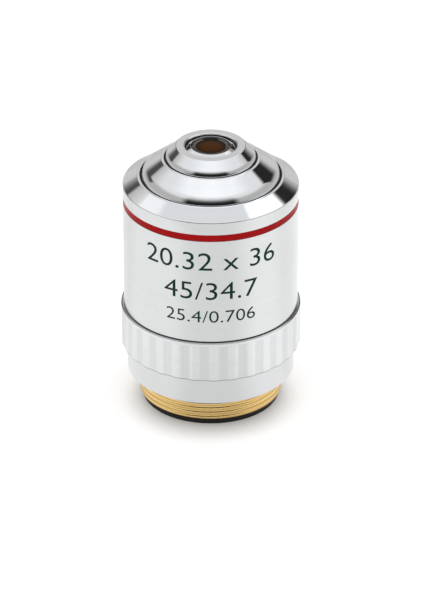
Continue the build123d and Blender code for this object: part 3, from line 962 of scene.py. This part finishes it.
@dataclass
class Barrel:
    """The satin sleeve, its colour ring and the printed figures."""

    levels: Levels
    finishes: Finishes
    wall: float = 1.0 * MM
    foot: float = 1.5 * MM
    foot_bore: float = 9.22 * MM
    groove_depth: float = 0.25 * MM
    edge: float = 0.05 * MM
    foot_reach: float = 0.15 * MM
    foot_lip: float = 0.4 * MM
    lip_slope: float = 0.1 * MM
    ink_height: float = 0.012 * MM
    cap_share: float = 0.73
    slimming: float = 0.004
    strip: float = 0.25 * MM

    def sleeve(self) -> bpy.types.Object:
        """The thin-walled cover with the groove for the ring."""
        z = self.levels
        outer = reach("outer_sleeve")
        bore = outer - self.wall
        groove = outer - self.groove_depth
        band_low, band_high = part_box("colour_band")[0].z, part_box("colour_band")[1].z
        fine = 0.03 * MM
        corners = [
            Corner(self.foot_bore, z.sleeve),
            Corner(outer - self.foot_lip - self.lip_slope, z.sleeve),
            Corner(outer - self.foot_lip, z.sleeve - self.foot_reach),
            Corner(outer, z.sleeve - self.foot_reach, self.edge),
            Corner(outer, band_low, fine), Corner(groove, band_low), Corner(groove, band_high),
            Corner(outer, band_high, fine), Corner(outer, z.crease, fine),
            Corner(bore, z.crease), Corner(bore, z.sleeve + self.foot),
            Corner(self.foot_bore, z.sleeve + self.foot),
        ]
        piece = turned("outer_sleeve_satin", corners, 384, 4)
        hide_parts("outer_sleeve")
        return self.finishes.apply(piece, Slot.SATIN)

    def band(self) -> bpy.types.Object:
        """The enamel ring, slightly crowned."""
        low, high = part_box("colour_band")
        groove = reach("outer_sleeve") - self.groove_depth
        crown = 0.06 * MM
        corners = [
            Corner(groove, low.z), Corner(high.x, low.z, crown), Corner(high.x, high.z, crown),
            Corner(groove, high.z),
        ]
        piece = turned("colour_band_enamel", corners, 384, 4)
        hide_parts("colour_band")
        return self.finishes.apply(piece, Slot.RED)

    def figures(self, words: str, baseline: float, cap_height: float,
                arc: float) -> bpy.types.Object:
        """A line of plain numbers wrapped round the sleeve.

        The flat text is cut into narrow upright strips, then a point at width x and height y
        goes to the angle x / R at the front and to the height baseline + y.

        Args:
            words: The numbers.
            baseline: Height of the foot of the numbers.
            cap_height: How tall they are.
            arc: The angle that the line spans, in radians.

        Returns:
            The finished piece.
        """
        radius = reach("outer_sleeve")
        curve = bpy.data.curves.new("figures", "FONT")
        curve.body = words
        curve.align_x = "CENTER"
        curve.size = cap_height / self.cap_share
        curve.resolution_u = 4
        curve.offset = -self.slimming * curve.size
        text = bpy.data.objects.new("figures", curve)
        bpy.context.scene.collection.objects.link(text)
        bpy.context.view_layer.update()
        mesh = bpy.data.meshes.new_from_object(text)
        bpy.data.objects.remove(text)
        shape = bmesh.new()
        shape.from_mesh(mesh)
        width = max(v.co.x for v in shape.verts) - min(v.co.x for v in shape.verts)
        for cut in np.arange(-width / 2, width / 2, self.strip):
            everything = shape.verts[:] + shape.edges[:] + shape.faces[:]
            bmesh.ops.bisect_plane(shape, geom=everything, plane_co=(cut, 0, 0), plane_no=(1, 0, 0))
        bmesh.ops.remove_doubles(shape, verts=shape.verts, dist=1e-7)
        flat = shape.faces[:]
        grown = bmesh.ops.extrude_face_region(shape, geom=flat)
        risen = [v for v in grown["geom"] if isinstance(v, bmesh.types.BMVert)]
        bmesh.ops.translate(shape, verts=risen, vec=(0, 0, 2 * self.ink_height))
        bmesh.ops.recalc_face_normals(shape, faces=shape.faces)
        shape.to_mesh(mesh)
        shape.free()
        points = np.zeros(len(mesh.vertices) * 3, np.float32)
        mesh.vertices.foreach_get("co", points)
        points = points.reshape(-1, 3)
        middle = (points[:, 0].max() + points[:, 0].min()) / 2
        spread = arc / (width / radius)
        angle = (points[:, 0] - middle) * spread / radius - math.pi / 2
        reach_out = radius - self.ink_height + points[:, 2]
        wrapped = np.stack([reach_out * np.cos(angle), reach_out * np.sin(angle),
                            baseline + points[:, 1]], axis=1)
        mesh.vertices.foreach_set("co", wrapped.astype(np.float32).ravel())
        mesh.update()
        piece = bpy.data.objects.new("figures_" + words.split()[0].replace("/", "_"), mesh)
        bpy.context.scene.collection.objects.link(piece)
        piece.data.materials.clear()
        piece.data.materials.append(self.finishes.ink)
        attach(piece, BODY)
        return piece

    def build(self) -> list[bpy.types.Object]:
        """All pieces of the barrel."""
        z = self.levels
        lines = [
            self.figures("20.32 x 36", z.crease - 7.3 * MM, 2.9 * MM, math.radians(91)),
            self.figures("45/34.7", z.crease - 11.9 * MM, 2.85 * MM, math.radians(63)),
            self.figures("25.4/0.706", z.crease - 15.5 * MM, 1.95 * MM, math.radians(60)),
        ]
        return [self.sleeve(), self.band(), *lines]


@dataclass
class Grip:
    """Shoulder, plain base and fluted ring in one piece."""

    levels: Levels
    finishes: Finishes
    base_step: float = 0.9 * MM
    ring_foot: float = 4.02 * MM
    ring_height: float = 6.1 * MM
    end_band: float = 0.5 * MM
    top_drop: float = 0.1 * MM
    foot_round: float = 0.2 * MM
    flutes: int = 30
    flute_width: float = 0.8 * MM
    flute_wall: float = 0.6 * MM
    flute_depth: float = 0.11 * MM
    land_turn: float = math.radians(2.0)
    bore: float = 9.22 * MM
    undercut: float = 10.26 * MM
    undercut_depth: float = 0.1 * MM
    edge: float = 0.05 * MM
    flute_end: float = 0.12
    seat_inset: float = 0.35 * MM
    floor_columns: int = 5
    land_columns: int = 6

    def flute_angles(self) -> tuple[np.ndarray, np.ndarray]:
        """Column angles over the ring, and how deep the flute is at each.

        A flute has a flat floor. Its floor lies at the distance (R - depth) / cos(a) from the
        axis, where a is the angle from the flute's middle. Its walls rise over the wall width
        by a smooth step, 3 t^2 - 2 t^3 of the share t.

        Returns:
            The angles and the depths below the ring's outer radius.
        """
        radius = reach("grip_base")
        half = math.asin(self.flute_width / 2 / radius)
        pitch = TAU / self.flutes
        wall = self.flute_wall / radius
        inner = np.linspace(-half, half, self.floor_columns)
        floor = radius - (radius - self.flute_depth) / np.cos(inner)
        share = np.array([0.2, 0.4, 0.6, 0.8])
        walls = half + share * wall
        rise = floor[-1] * (1.0 - share ** 2 * (3.0 - 2.0 * share))
        lands = np.linspace(half + wall, pitch - half - wall, self.land_columns)
        angles = np.concatenate([inner, walls, lands, pitch - walls[::-1]])
        depths = np.concatenate([floor, rise, np.zeros(self.land_columns), rise[::-1]])
        first = -math.pi / 2 + self.land_turn + pitch / 2
        turns = first + pitch * np.arange(self.flutes)
        return (turns[:, None] + angles[None, :]).ravel(), np.tile(depths, self.flutes)

    def ring(self) -> bpy.types.Object:
        """The whole piece: an outline carried round and sunk by the depth of the flutes.

        The ring's rows are sunk in full up to the flutes' top, the next one by a small share,
        and all others not at all.
        """
        z = self.levels
        outer = reach("grip_base")
        base = outer - self.base_step
        foot = z.shoulder + self.ring_foot
        top = foot + self.ring_height
        flute_top = top - self.end_band
        seat = reach("outer_sleeve") - self.seat_inset
        seat_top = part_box("grip_base")[1].z
        undercut_z = z.shoulder + self.undercut_depth
        fine = self.edge
        lower = outline([
            Corner(self.bore, undercut_z), Corner(self.undercut, undercut_z),
            Corner(self.undercut, z.shoulder), Corner(base, z.shoulder, fine),
            Corner(base, foot),
        ], closed=False)
        bend = np.linspace(0.0, math.pi / 2, 6)
        turn = self.foot_round * np.stack([np.sin(bend) - 1.0, 1.0 - np.cos(bend)], axis=1)
        band = np.concatenate([
            turn + [outer, foot],
            [[outer, foot + 1.2 * self.foot_round], [outer, flute_top - fine],
             [outer, flute_top], [outer, flute_top + 0.4 * fine],
             [outer, flute_top + 1.4 * fine]],
        ])
        upper = outline([
            Corner(outer, flute_top + 2.0 * fine), Corner(outer, top - self.top_drop, fine),
            Corner(outer - 2.0 * self.top_drop, top), Corner(seat, top), Corner(seat, seat_top),
            Corner(self.bore, seat_top),
        ], closed=False)
        rows = np.concatenate([lower, band, upper])
        full = len(turn) + 3
        open_share = np.concatenate([
            np.zeros(len(lower)), np.ones(full), [self.flute_end, 0.0], np.zeros(len(upper)),
        ])
        angles, depths = self.flute_angles()
        radii = rows[:, 0][:, None] - open_share[:, None] * depths[None, :]
        heights = np.outer(rows[:, 1], np.ones(len(angles)))
        piece = mesh_from_grid("grip_base_fluted", radii, heights, angles, True)
        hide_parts("grip_base")
        return self.finishes.apply(piece, Slot.SATIN, self.finishes.milled)

    def build(self) -> list[bpy.types.Object]:
        """The one piece of the grip."""
        return [self.ring()]


@dataclass
class Mount:
    """The brass tube with its thread, and the black end ring."""

    levels: Levels
    finishes: Finishes
    pitch: float = 0.7056 * MM
    thread_depth: float = 0.08 * MM
    chamfer: float = 0.1 * MM
    relief_depth: float = 0.56 * MM
    relief_length: float = 0.5 * MM
    relief_step: float = 0.03 * MM
    counterbore: float = 8.7 * MM
    tube: float = 9.2 * MM
    rows_per_turn: int = 22
    slot_width: float = 1.2 * MM
    slot_depth: float = 0.5 * MM
    slot_wall: float = 0.002
    edge: float = 0.12 * MM
    bore: float = 8.0 * MM
    counterbore_depth: float = 4.5 * MM
    seat_gap: float = 0.1 * MM
    fade_slope: float = 1.2
    ring_hole: float = 7.2 * MM
    clearance: float = 0.02 * MM

    def thread(self) -> bpy.types.Object:
        """The brass tube. Its thread is one helix.

        At height z and angle a the phase is z / pitch - a / turn, and the radius falls from the
        crest by depth * (1 - w) / 2, where w is the cosine of the phase. The crests fade into
        the lead chamfer and the relief groove.
        """
        z = self.levels
        crest = reach("thread_tube")
        relief_z = z.shoulder - self.relief_length
        seat = z.shoulder + self.seat_gap
        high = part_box("thread_tube")[1].z
        step = z.thread + self.counterbore_depth
        turns = (relief_z - z.thread) / self.pitch
        span = np.linspace(z.thread, relief_z, int(turns * self.rows_per_turn))
        angles = around(256)
        phase = span[:, None] / self.pitch - angles[None, :] / TAU
        wave = np.cos(TAU * phase)
        radii = crest - self.thread_depth * (1.0 - wave) / 2.0
        neck = crest - self.relief_depth
        lead = crest - self.chamfer + (span - z.thread)
        fade = neck + (relief_z - span) * self.fade_slope
        radii = np.minimum(radii, np.minimum(lead, fade)[:, None])
        tail = np.array([
            [neck, relief_z + self.relief_step], [neck, seat], [self.tube, seat],
            [self.tube, high], [self.bore, high], [self.bore, step],
            [self.counterbore, step], [self.counterbore, z.thread],
        ])
        flat = np.ones(len(angles))
        radii = np.concatenate([radii, np.outer(tail[:, 0], flat)])
        heights = np.outer(np.concatenate([span, tail[:, 1]]), flat)
        piece = mesh_from_grid("thread_tube_brass", radii, heights, angles, True)
        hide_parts("thread_tube")
        return self.finishes.apply(piece, Slot.BRASS)

    def end_ring(self) -> bpy.types.Object:
        """The black ring with two spanner slots across its lower face.

        A slot spans the angle whose sine is half its width over the outer radius, to both
        sides of the X axis. There the rows near the face step up by the slot's depth. A slot's
        wall lies between two columns that are slot_wall radians apart.
        """
        z = self.levels
        low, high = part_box("rear_ring")
        outer, hole = high.x, self.ring_hole
        spigot = self.counterbore - self.clearance
        rows = outline([
            Corner(hole, low.z, self.edge), Corner(outer, low.z, self.edge),
            Corner(outer, z.thread, 0.4 * self.edge), Corner(spigot, z.thread),
            Corner(spigot, high.z), Corner(hole, high.z),
        ], 3)
        half = math.asin(self.slot_width / 2 / outer)
        wall = self.slot_wall
        side = np.array([-half - wall, -half, half, half + wall])
        sweep = np.linspace(half + 2 * wall, math.pi - half - 2 * wall, 96)
        angles = np.concatenate([side, sweep, side + math.pi, sweep + math.pi])
        cut = np.zeros(len(angles))
        cut[[1, 2]] = 1.0
        start = len(side) + len(sweep)
        cut[[start + 1, start + 2]] = 1.0
        heights = np.repeat(rows[:, 1][:, None], len(angles), axis=1)
        sunk = np.maximum(heights, low.z + self.slot_depth)
        heights = np.where(cut[None, :] > 0.5, sunk, heights)
        radii = np.repeat(rows[:, 0][:, None], len(angles), axis=1)
        piece = mesh_from_grid("rear_ring_black", radii, heights, angles, True)
        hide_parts("rear_ring")
        return self.finishes.apply(piece, Slot.BLACK)

    def build(self) -> list[bpy.types.Object]:
        """Both pieces of the mount."""
        return [self.thread(), self.end_ring()]


@dataclass
class Insides:
    """Inner pieces that keep their CAD form and get their own finish."""

    finishes: Finishes

    def build(self) -> list[bpy.types.Object]:
        """Dresses every CAD node that nothing replaces, by the record's slots."""
        slots = {row["node"]: Slot(row["material_slot"]) for row in frame["record"]["subparts"]}
        shown = [node for node in frame["nodes"].values() if not node.hide_render]
        for node in shown:
            node.data.materials.clear()
            node.data.materials.append(self.finishes.materials[slots[node.name]])
        return shown


# Studio
@dataclass(frozen=True)
class Card:
    """A patch of the studio that polished metal mirrors, by direction in degrees.

    azimuth 0 is straight behind the object, 90 is to the right and 180 is the camera's side.
    A card starts at one azimuth and ends at another, and fades over a stretch of its own at
    each end, at its foot and at its head.
    """

    start: float
    end: float
    low: float
    high: float
    level: float
    start_fade: float = 4.0
    end_fade: float = 4.0
    low_fade: float = 4.0
    high_fade: float = 4.0

    @property
    def edges(self) -> tuple[Step, Step, Step, Step]:
        """The steps in at its start, out at its end, in at its foot and out at its head."""
        return (Step(self.start - self.start_fade / 2, self.start + self.start_fade / 2),
                Step(self.end - self.end_fade / 2, self.end + self.end_fade / 2, 1.0, 0.0),
                Step(self.low - self.low_fade / 2, self.low + self.low_fade / 2),
                Step(self.high - self.high_fade / 2, self.high + self.high_fade / 2, 1.0, 0.0))


@dataclass
class Studio:
    """Floor, world and camera.

    The cards are, in order, the pale wall behind, dark stretches on its left and right, two
    dark panels on it, a small dark block under each, and the dark side of the camera. bearings
    are the steps that the floor's level takes with the bearing, in degrees from the camera's
    side, and heights those that the world's level takes with the elevation.
    """

    distance: float = 600.0 * MM
    pitch: float = math.radians(29.04)
    aim_height: float = 14.58 * MM
    aim_side: float = 0.1 * MM
    focal_pixels: float = 4235.0
    long_side: float = 600.0
    sensor: float = 36.0
    cards: tuple = (
        Card(-33.0, 33.0, -20.0, 50.0, level=0.60, start_fade=10.0, end_fade=10.0,
             high_fade=16.0),
        Card(-61.0, -31.0, 11.0, 26.0, level=0.07, start_fade=5.0, end_fade=14.0, low_fade=14.0),
        Card(33.0, 61.0, 14.0, 38.5, level=0.02, start_fade=16.0, end_fade=5.0, low_fade=18.0,
             high_fade=5.0),
        Card(-30.0, -13.0, 15.0, 36.0, level=0.02),
        Card(13.0, 30.0, 15.0, 36.0, level=0.02),
        Card(-21.0, -10.0, 7.0, 16.0, level=0.02, start_fade=3.0, end_fade=3.0, low_fade=2.0,
             high_fade=2.0),
        Card(10.0, 21.0, 7.0, 16.0, level=0.02, start_fade=3.0, end_fade=3.0, low_fade=2.0,
             high_fade=2.0),
        Card(136.0, 224.0, -20.0, 36.0, level=0.012, start_fade=16.0, end_fade=16.0,
             high_fade=50.0),
    )
    floor_reach: float = 3.0
    floor_level: float = 0.70
    bearings: tuple = (
        Step(18.0, 60.0, 0.0, 0.24), Step(-50.0, -16.0, 0.18, 0.0), Step(80.0, 100.0, 0.0, -0.11),
        Step(115.0, 135.0, 0.0, 0.04), Step(-125.0, -98.0, -0.15, 0.0),
    )
    heights: tuple = (Step(22.0, 46.0, 0.45, 0.79), Step(48.0, 76.0, 0.0, 0.27))
    # The contact step darkens what mirrors see of the floor near the foot, and the shadow step
    # lowers the floor's glow to the camera there: both are painted shadow.
    contact_shadow: Step = Step(11.0 * MM, 16.5 * MM, 0.5, 1.0)
    shadow: Step = Step(7.5 * MM, 13.5 * MM, 0.02, 0.34)
    shadow_shift: float = 2.5 * MM
    horizon: Step = Step(80.0 * MM, 150.0 * MM)
    beyond: Step = Step(48.0, 75.0, 0.012, 0.55)
    matt_grey: float = 0.86
    mirrored_grey: float = 0.35
    low_tint: tuple[float, float, float] = (1.0, 0.995, 0.99)
    high_tint: tuple[float, float, float] = (0.965, 0.985, 1.0)
    tint_turn: Step = Step(30.0, 46.0)
    overhead_edge: Step = Step(-0.02, 0.02)
    overhead_back: Step = Step(0.42, 0.56, 1.0, 0.0)
    overhead_foot: Step = Step(0.61, 0.67)
    overhead_right: Step = Step(0.385, 0.435, 0.75, 1.25)
    overhead_left: Step = Step(-0.55, -0.49, 0.2, 0.0)

    def camera(self) -> bpy.types.Object:
        """A long lens on the photograph's side, tilted down at the object."""
        data = bpy.data.cameras.new("camera")
        data.sensor_width = self.sensor
        data.lens = self.focal_pixels * self.sensor / self.long_side
        data.clip_start = 0.01
        camera = bpy.data.objects.new("camera", data)
        bpy.context.scene.collection.objects.link(camera)
        camera.location = (self.aim_side, -self.distance * math.cos(self.pitch),
                           self.aim_height + self.distance * math.sin(self.pitch))
        camera.rotation_euler = (math.pi / 2 - self.pitch, 0.0, 0.0)
        bpy.context.scene.camera = camera
        return camera

    def floor(self) -> bpy.types.Object:
        """A wide pale floor that keeps the shadow and looks white to the camera.

        Its glow to the camera is lowered round the foot, a painted shadow that deepens the rendered
        one. Mirrors see it a little brighter on both sides than in the middle, and darker close to
        the foot, a painted shadow in the reflections. Past about 0.1 m they see the studio's
        horizon
        instead: grey behind and dark on the camera's side.
        """
        size = self.floor_reach
        mesh = bpy.data.meshes.new("floor")
        corners = [(-size, -size, 0), (size, -size, 0), (size, size, 0), (-size, size, 0)]
        mesh.from_pydata(corners, [], [(0, 1, 2, 3)])
        piece = bpy.data.objects.new("floor", mesh)
        bpy.context.scene.collection.objects.link(piece)
        material = bpy.data.materials.new("floor")
        material.use_nodes = True
        nodes = Nodes(material.node_tree)
        nodes.tree.nodes.clear()
        place = nodes.add("ShaderNodeTexCoord").outputs["Object"]
        x, y, _ = nodes.add("ShaderNodeSeparateXYZ", Vector=place).outputs
        away = nodes.length(place)
        mirror, watched = nodes.mirrored()
        far = nodes.step(away, self.horizon)
        shift = nodes.add("ShaderNodeVectorMath", {"operation": "ADD"})
        nodes.feed(shift.inputs[0], place)
        shift.inputs[1].default_value = (0.0, self.shadow_shift, 0.0)
        # Painted shadow: the floor's glow to the camera is lower round the foot, shifted towards
        # the camera.
        seen = nodes.step(nodes.length(shift.outputs["Vector"]), self.shadow)
        bearing = nodes.math("MULTIPLY", nodes.math("ARCTAN2", x, nodes.math("MULTIPLY", y, -1.0)),
                             180.0 / math.pi)
        near = self.floor_level
        for step in self.bearings:
            near = nodes.math("ADD", near, nodes.step(bearing, step))
        beyond = nodes.step(nodes.math("ABSOLUTE", bearing), self.beyond)
        level = nodes.math("MULTIPLY_ADD", nodes.math("SUBTRACT", beyond, near), far, near)
        seen = nodes.math("MULTIPLY", watched, seen)
        # Painted shadow in reflections: mirrors see the floor darker close to the foot.
        level = nodes.math("MULTIPLY", level, nodes.step(away, self.contact_shadow))
        seen = nodes.math("MULTIPLY_ADD", mirror, level, seen)
        dimmed = nodes.mix(far, rgba((self.mirrored_grey,) * 3), rgba((0.0, 0.0, 0.0)))
        matt = nodes.add("ShaderNodeBsdfDiffuse",
                         Color=nodes.mix(mirror, rgba((self.matt_grey,) * 3), dimmed))
        glow = nodes.add("ShaderNodeEmission", Color=rgba((1.0, 1.0, 1.0)), Strength=seen)
        both = nodes.add("ShaderNodeAddShader")
        nodes.feed(both.inputs[0], matt.outputs[0])
        nodes.feed(both.inputs[1], glow.outputs[0])
        nodes.add("ShaderNodeOutputMaterial", Surface=both.outputs[0])
        mesh.materials.append(material)
        return piece

    def world(self) -> bpy.types.World:
        """White to the camera, plain white light on matt surfaces, cards for mirrors.

        A direction's azimuth is atan2(x, y) and its elevation asin(z). The level rises with
        elevation, and each card covers it by the product of four smooth steps.
        """
        world = bpy.data.worlds.new("studio")
        world.use_nodes = True
        bpy.context.scene.world = world
        nodes = Nodes(world.node_tree)
        nodes.tree.nodes.clear()
        direction = nodes.add("ShaderNodeTexCoord").outputs["Generated"]
        x, y, z = nodes.add("ShaderNodeSeparateXYZ", Vector=direction).outputs
        to_degrees = 180.0 / math.pi
        azimuth = nodes.math("MULTIPLY", nodes.math("ARCTAN2", x, y), to_degrees)
        elevation = nodes.math("MULTIPLY", nodes.math("ARCSINE", z), to_degrees)
        value = nodes.math("ADD", *[nodes.step(elevation, step) for step in self.heights])
        for card in self.cards:
            mask = self.card_mask(nodes, card, azimuth, elevation)
            gap = nodes.math("SUBTRACT", card.level, value)
            value = nodes.math("MULTIPLY_ADD", gap, mask, value)
        value = self.overhead(nodes, x, y, z, value)
        mirror, _ = nodes.mirrored()
        seen = nodes.math("MULTIPLY_ADD", nodes.math("SUBTRACT", value, 1.0), mirror, 1.0)
        tint = nodes.mix(nodes.step(elevation, self.tint_turn), rgba(self.low_tint),
                         rgba(self.high_tint))
        tint = nodes.mix(mirror, rgba((1.0, 1.0, 1.0)), tint)
        shader = nodes.add("ShaderNodeBackground", Color=tint, Strength=seen)
        nodes.add("ShaderNodeOutputWorld", Surface=shader.outputs[0])
        return world

    def overhead(self, nodes: Nodes, x: bpy.types.NodeSocket, y: bpy.types.NodeSocket,
                 z: bpy.types.NodeSocket, value: bpy.types.NodeSocket) -> bpy.types.NodeSocket:
        """The second overhead light, which starts behind a curved edge.

        The edge runs along y = -0.16 + 0.55 x^2 + 2 x^4. Behind it the level is even in the
        middle, high on the right from x = 0.41, and fairly high on the left from x = -0.52.

        Args:
            nodes: The world's nodes.
            x: The direction's x.
            y: The direction's y.
            z: The direction's z.
            value: The level so far.

        Returns:
            The level with this light in it.
        """
        square = nodes.math("MULTIPLY", x, x)
        bend = nodes.math("MULTIPLY", square, nodes.math("MULTIPLY_ADD", square, 2.0, 0.55))
        edge = nodes.math("SUBTRACT", y, nodes.math("SUBTRACT", bend, 0.16))
        mask = nodes.math("MULTIPLY", nodes.step(edge, self.overhead_edge),
                          nodes.step(y, self.overhead_back))
        mask = nodes.math("MULTIPLY", mask, nodes.step(z, self.overhead_foot))
        level = nodes.math("ADD", nodes.step(x, self.overhead_right),
                           nodes.step(x, self.overhead_left))
        return nodes.math("MULTIPLY_ADD", nodes.math("SUBTRACT", level, value), mask, value)

    def card_mask(self, nodes: Nodes, card: Card, azimuth: bpy.types.NodeSocket,
                  elevation: bpy.types.NodeSocket) -> bpy.types.NodeSocket:
        """How much of a card shows in a direction.

        Args:
            nodes: The world's nodes.
            card: The card.
            azimuth: Azimuth in degrees.
            elevation: Elevation in degrees.

        Returns:
            A socket from 0 to 1.
        """
        if card.end > 180.0:
            below = nodes.math("LESS_THAN", azimuth, card.end - 270.0)
            azimuth = nodes.math("MULTIPLY_ADD", below, 360.0, azimuth)
        start, end, foot, head = card.edges
        return nodes.math("MULTIPLY", nodes.window(azimuth, start, end),
                          nodes.window(elevation, foot, head))

    def build(self) -> None:
        """Sets up floor, world, camera and colour handling."""
        self.floor()
        self.world()
        self.camera()
        bpy.context.scene.view_settings.view_transform = "Standard"


def main() -> None:
    """Builds the sub-assemblies in order."""
    logging.basicConfig(level=logging.INFO, format="%(name)s %(message)s")
    levels = Levels()
    finishes = Finishes()
    groups = (Nose(levels, finishes), Barrel(levels, finishes), Grip(levels, finishes),
              Mount(levels, finishes), Insides(finishes))
    for group in groups:
        for piece in group.build():
            LOG.info("%s: %s", type(group).__name__, piece.name)
    Studio().build()


if __name__ == "__main__":
    main()
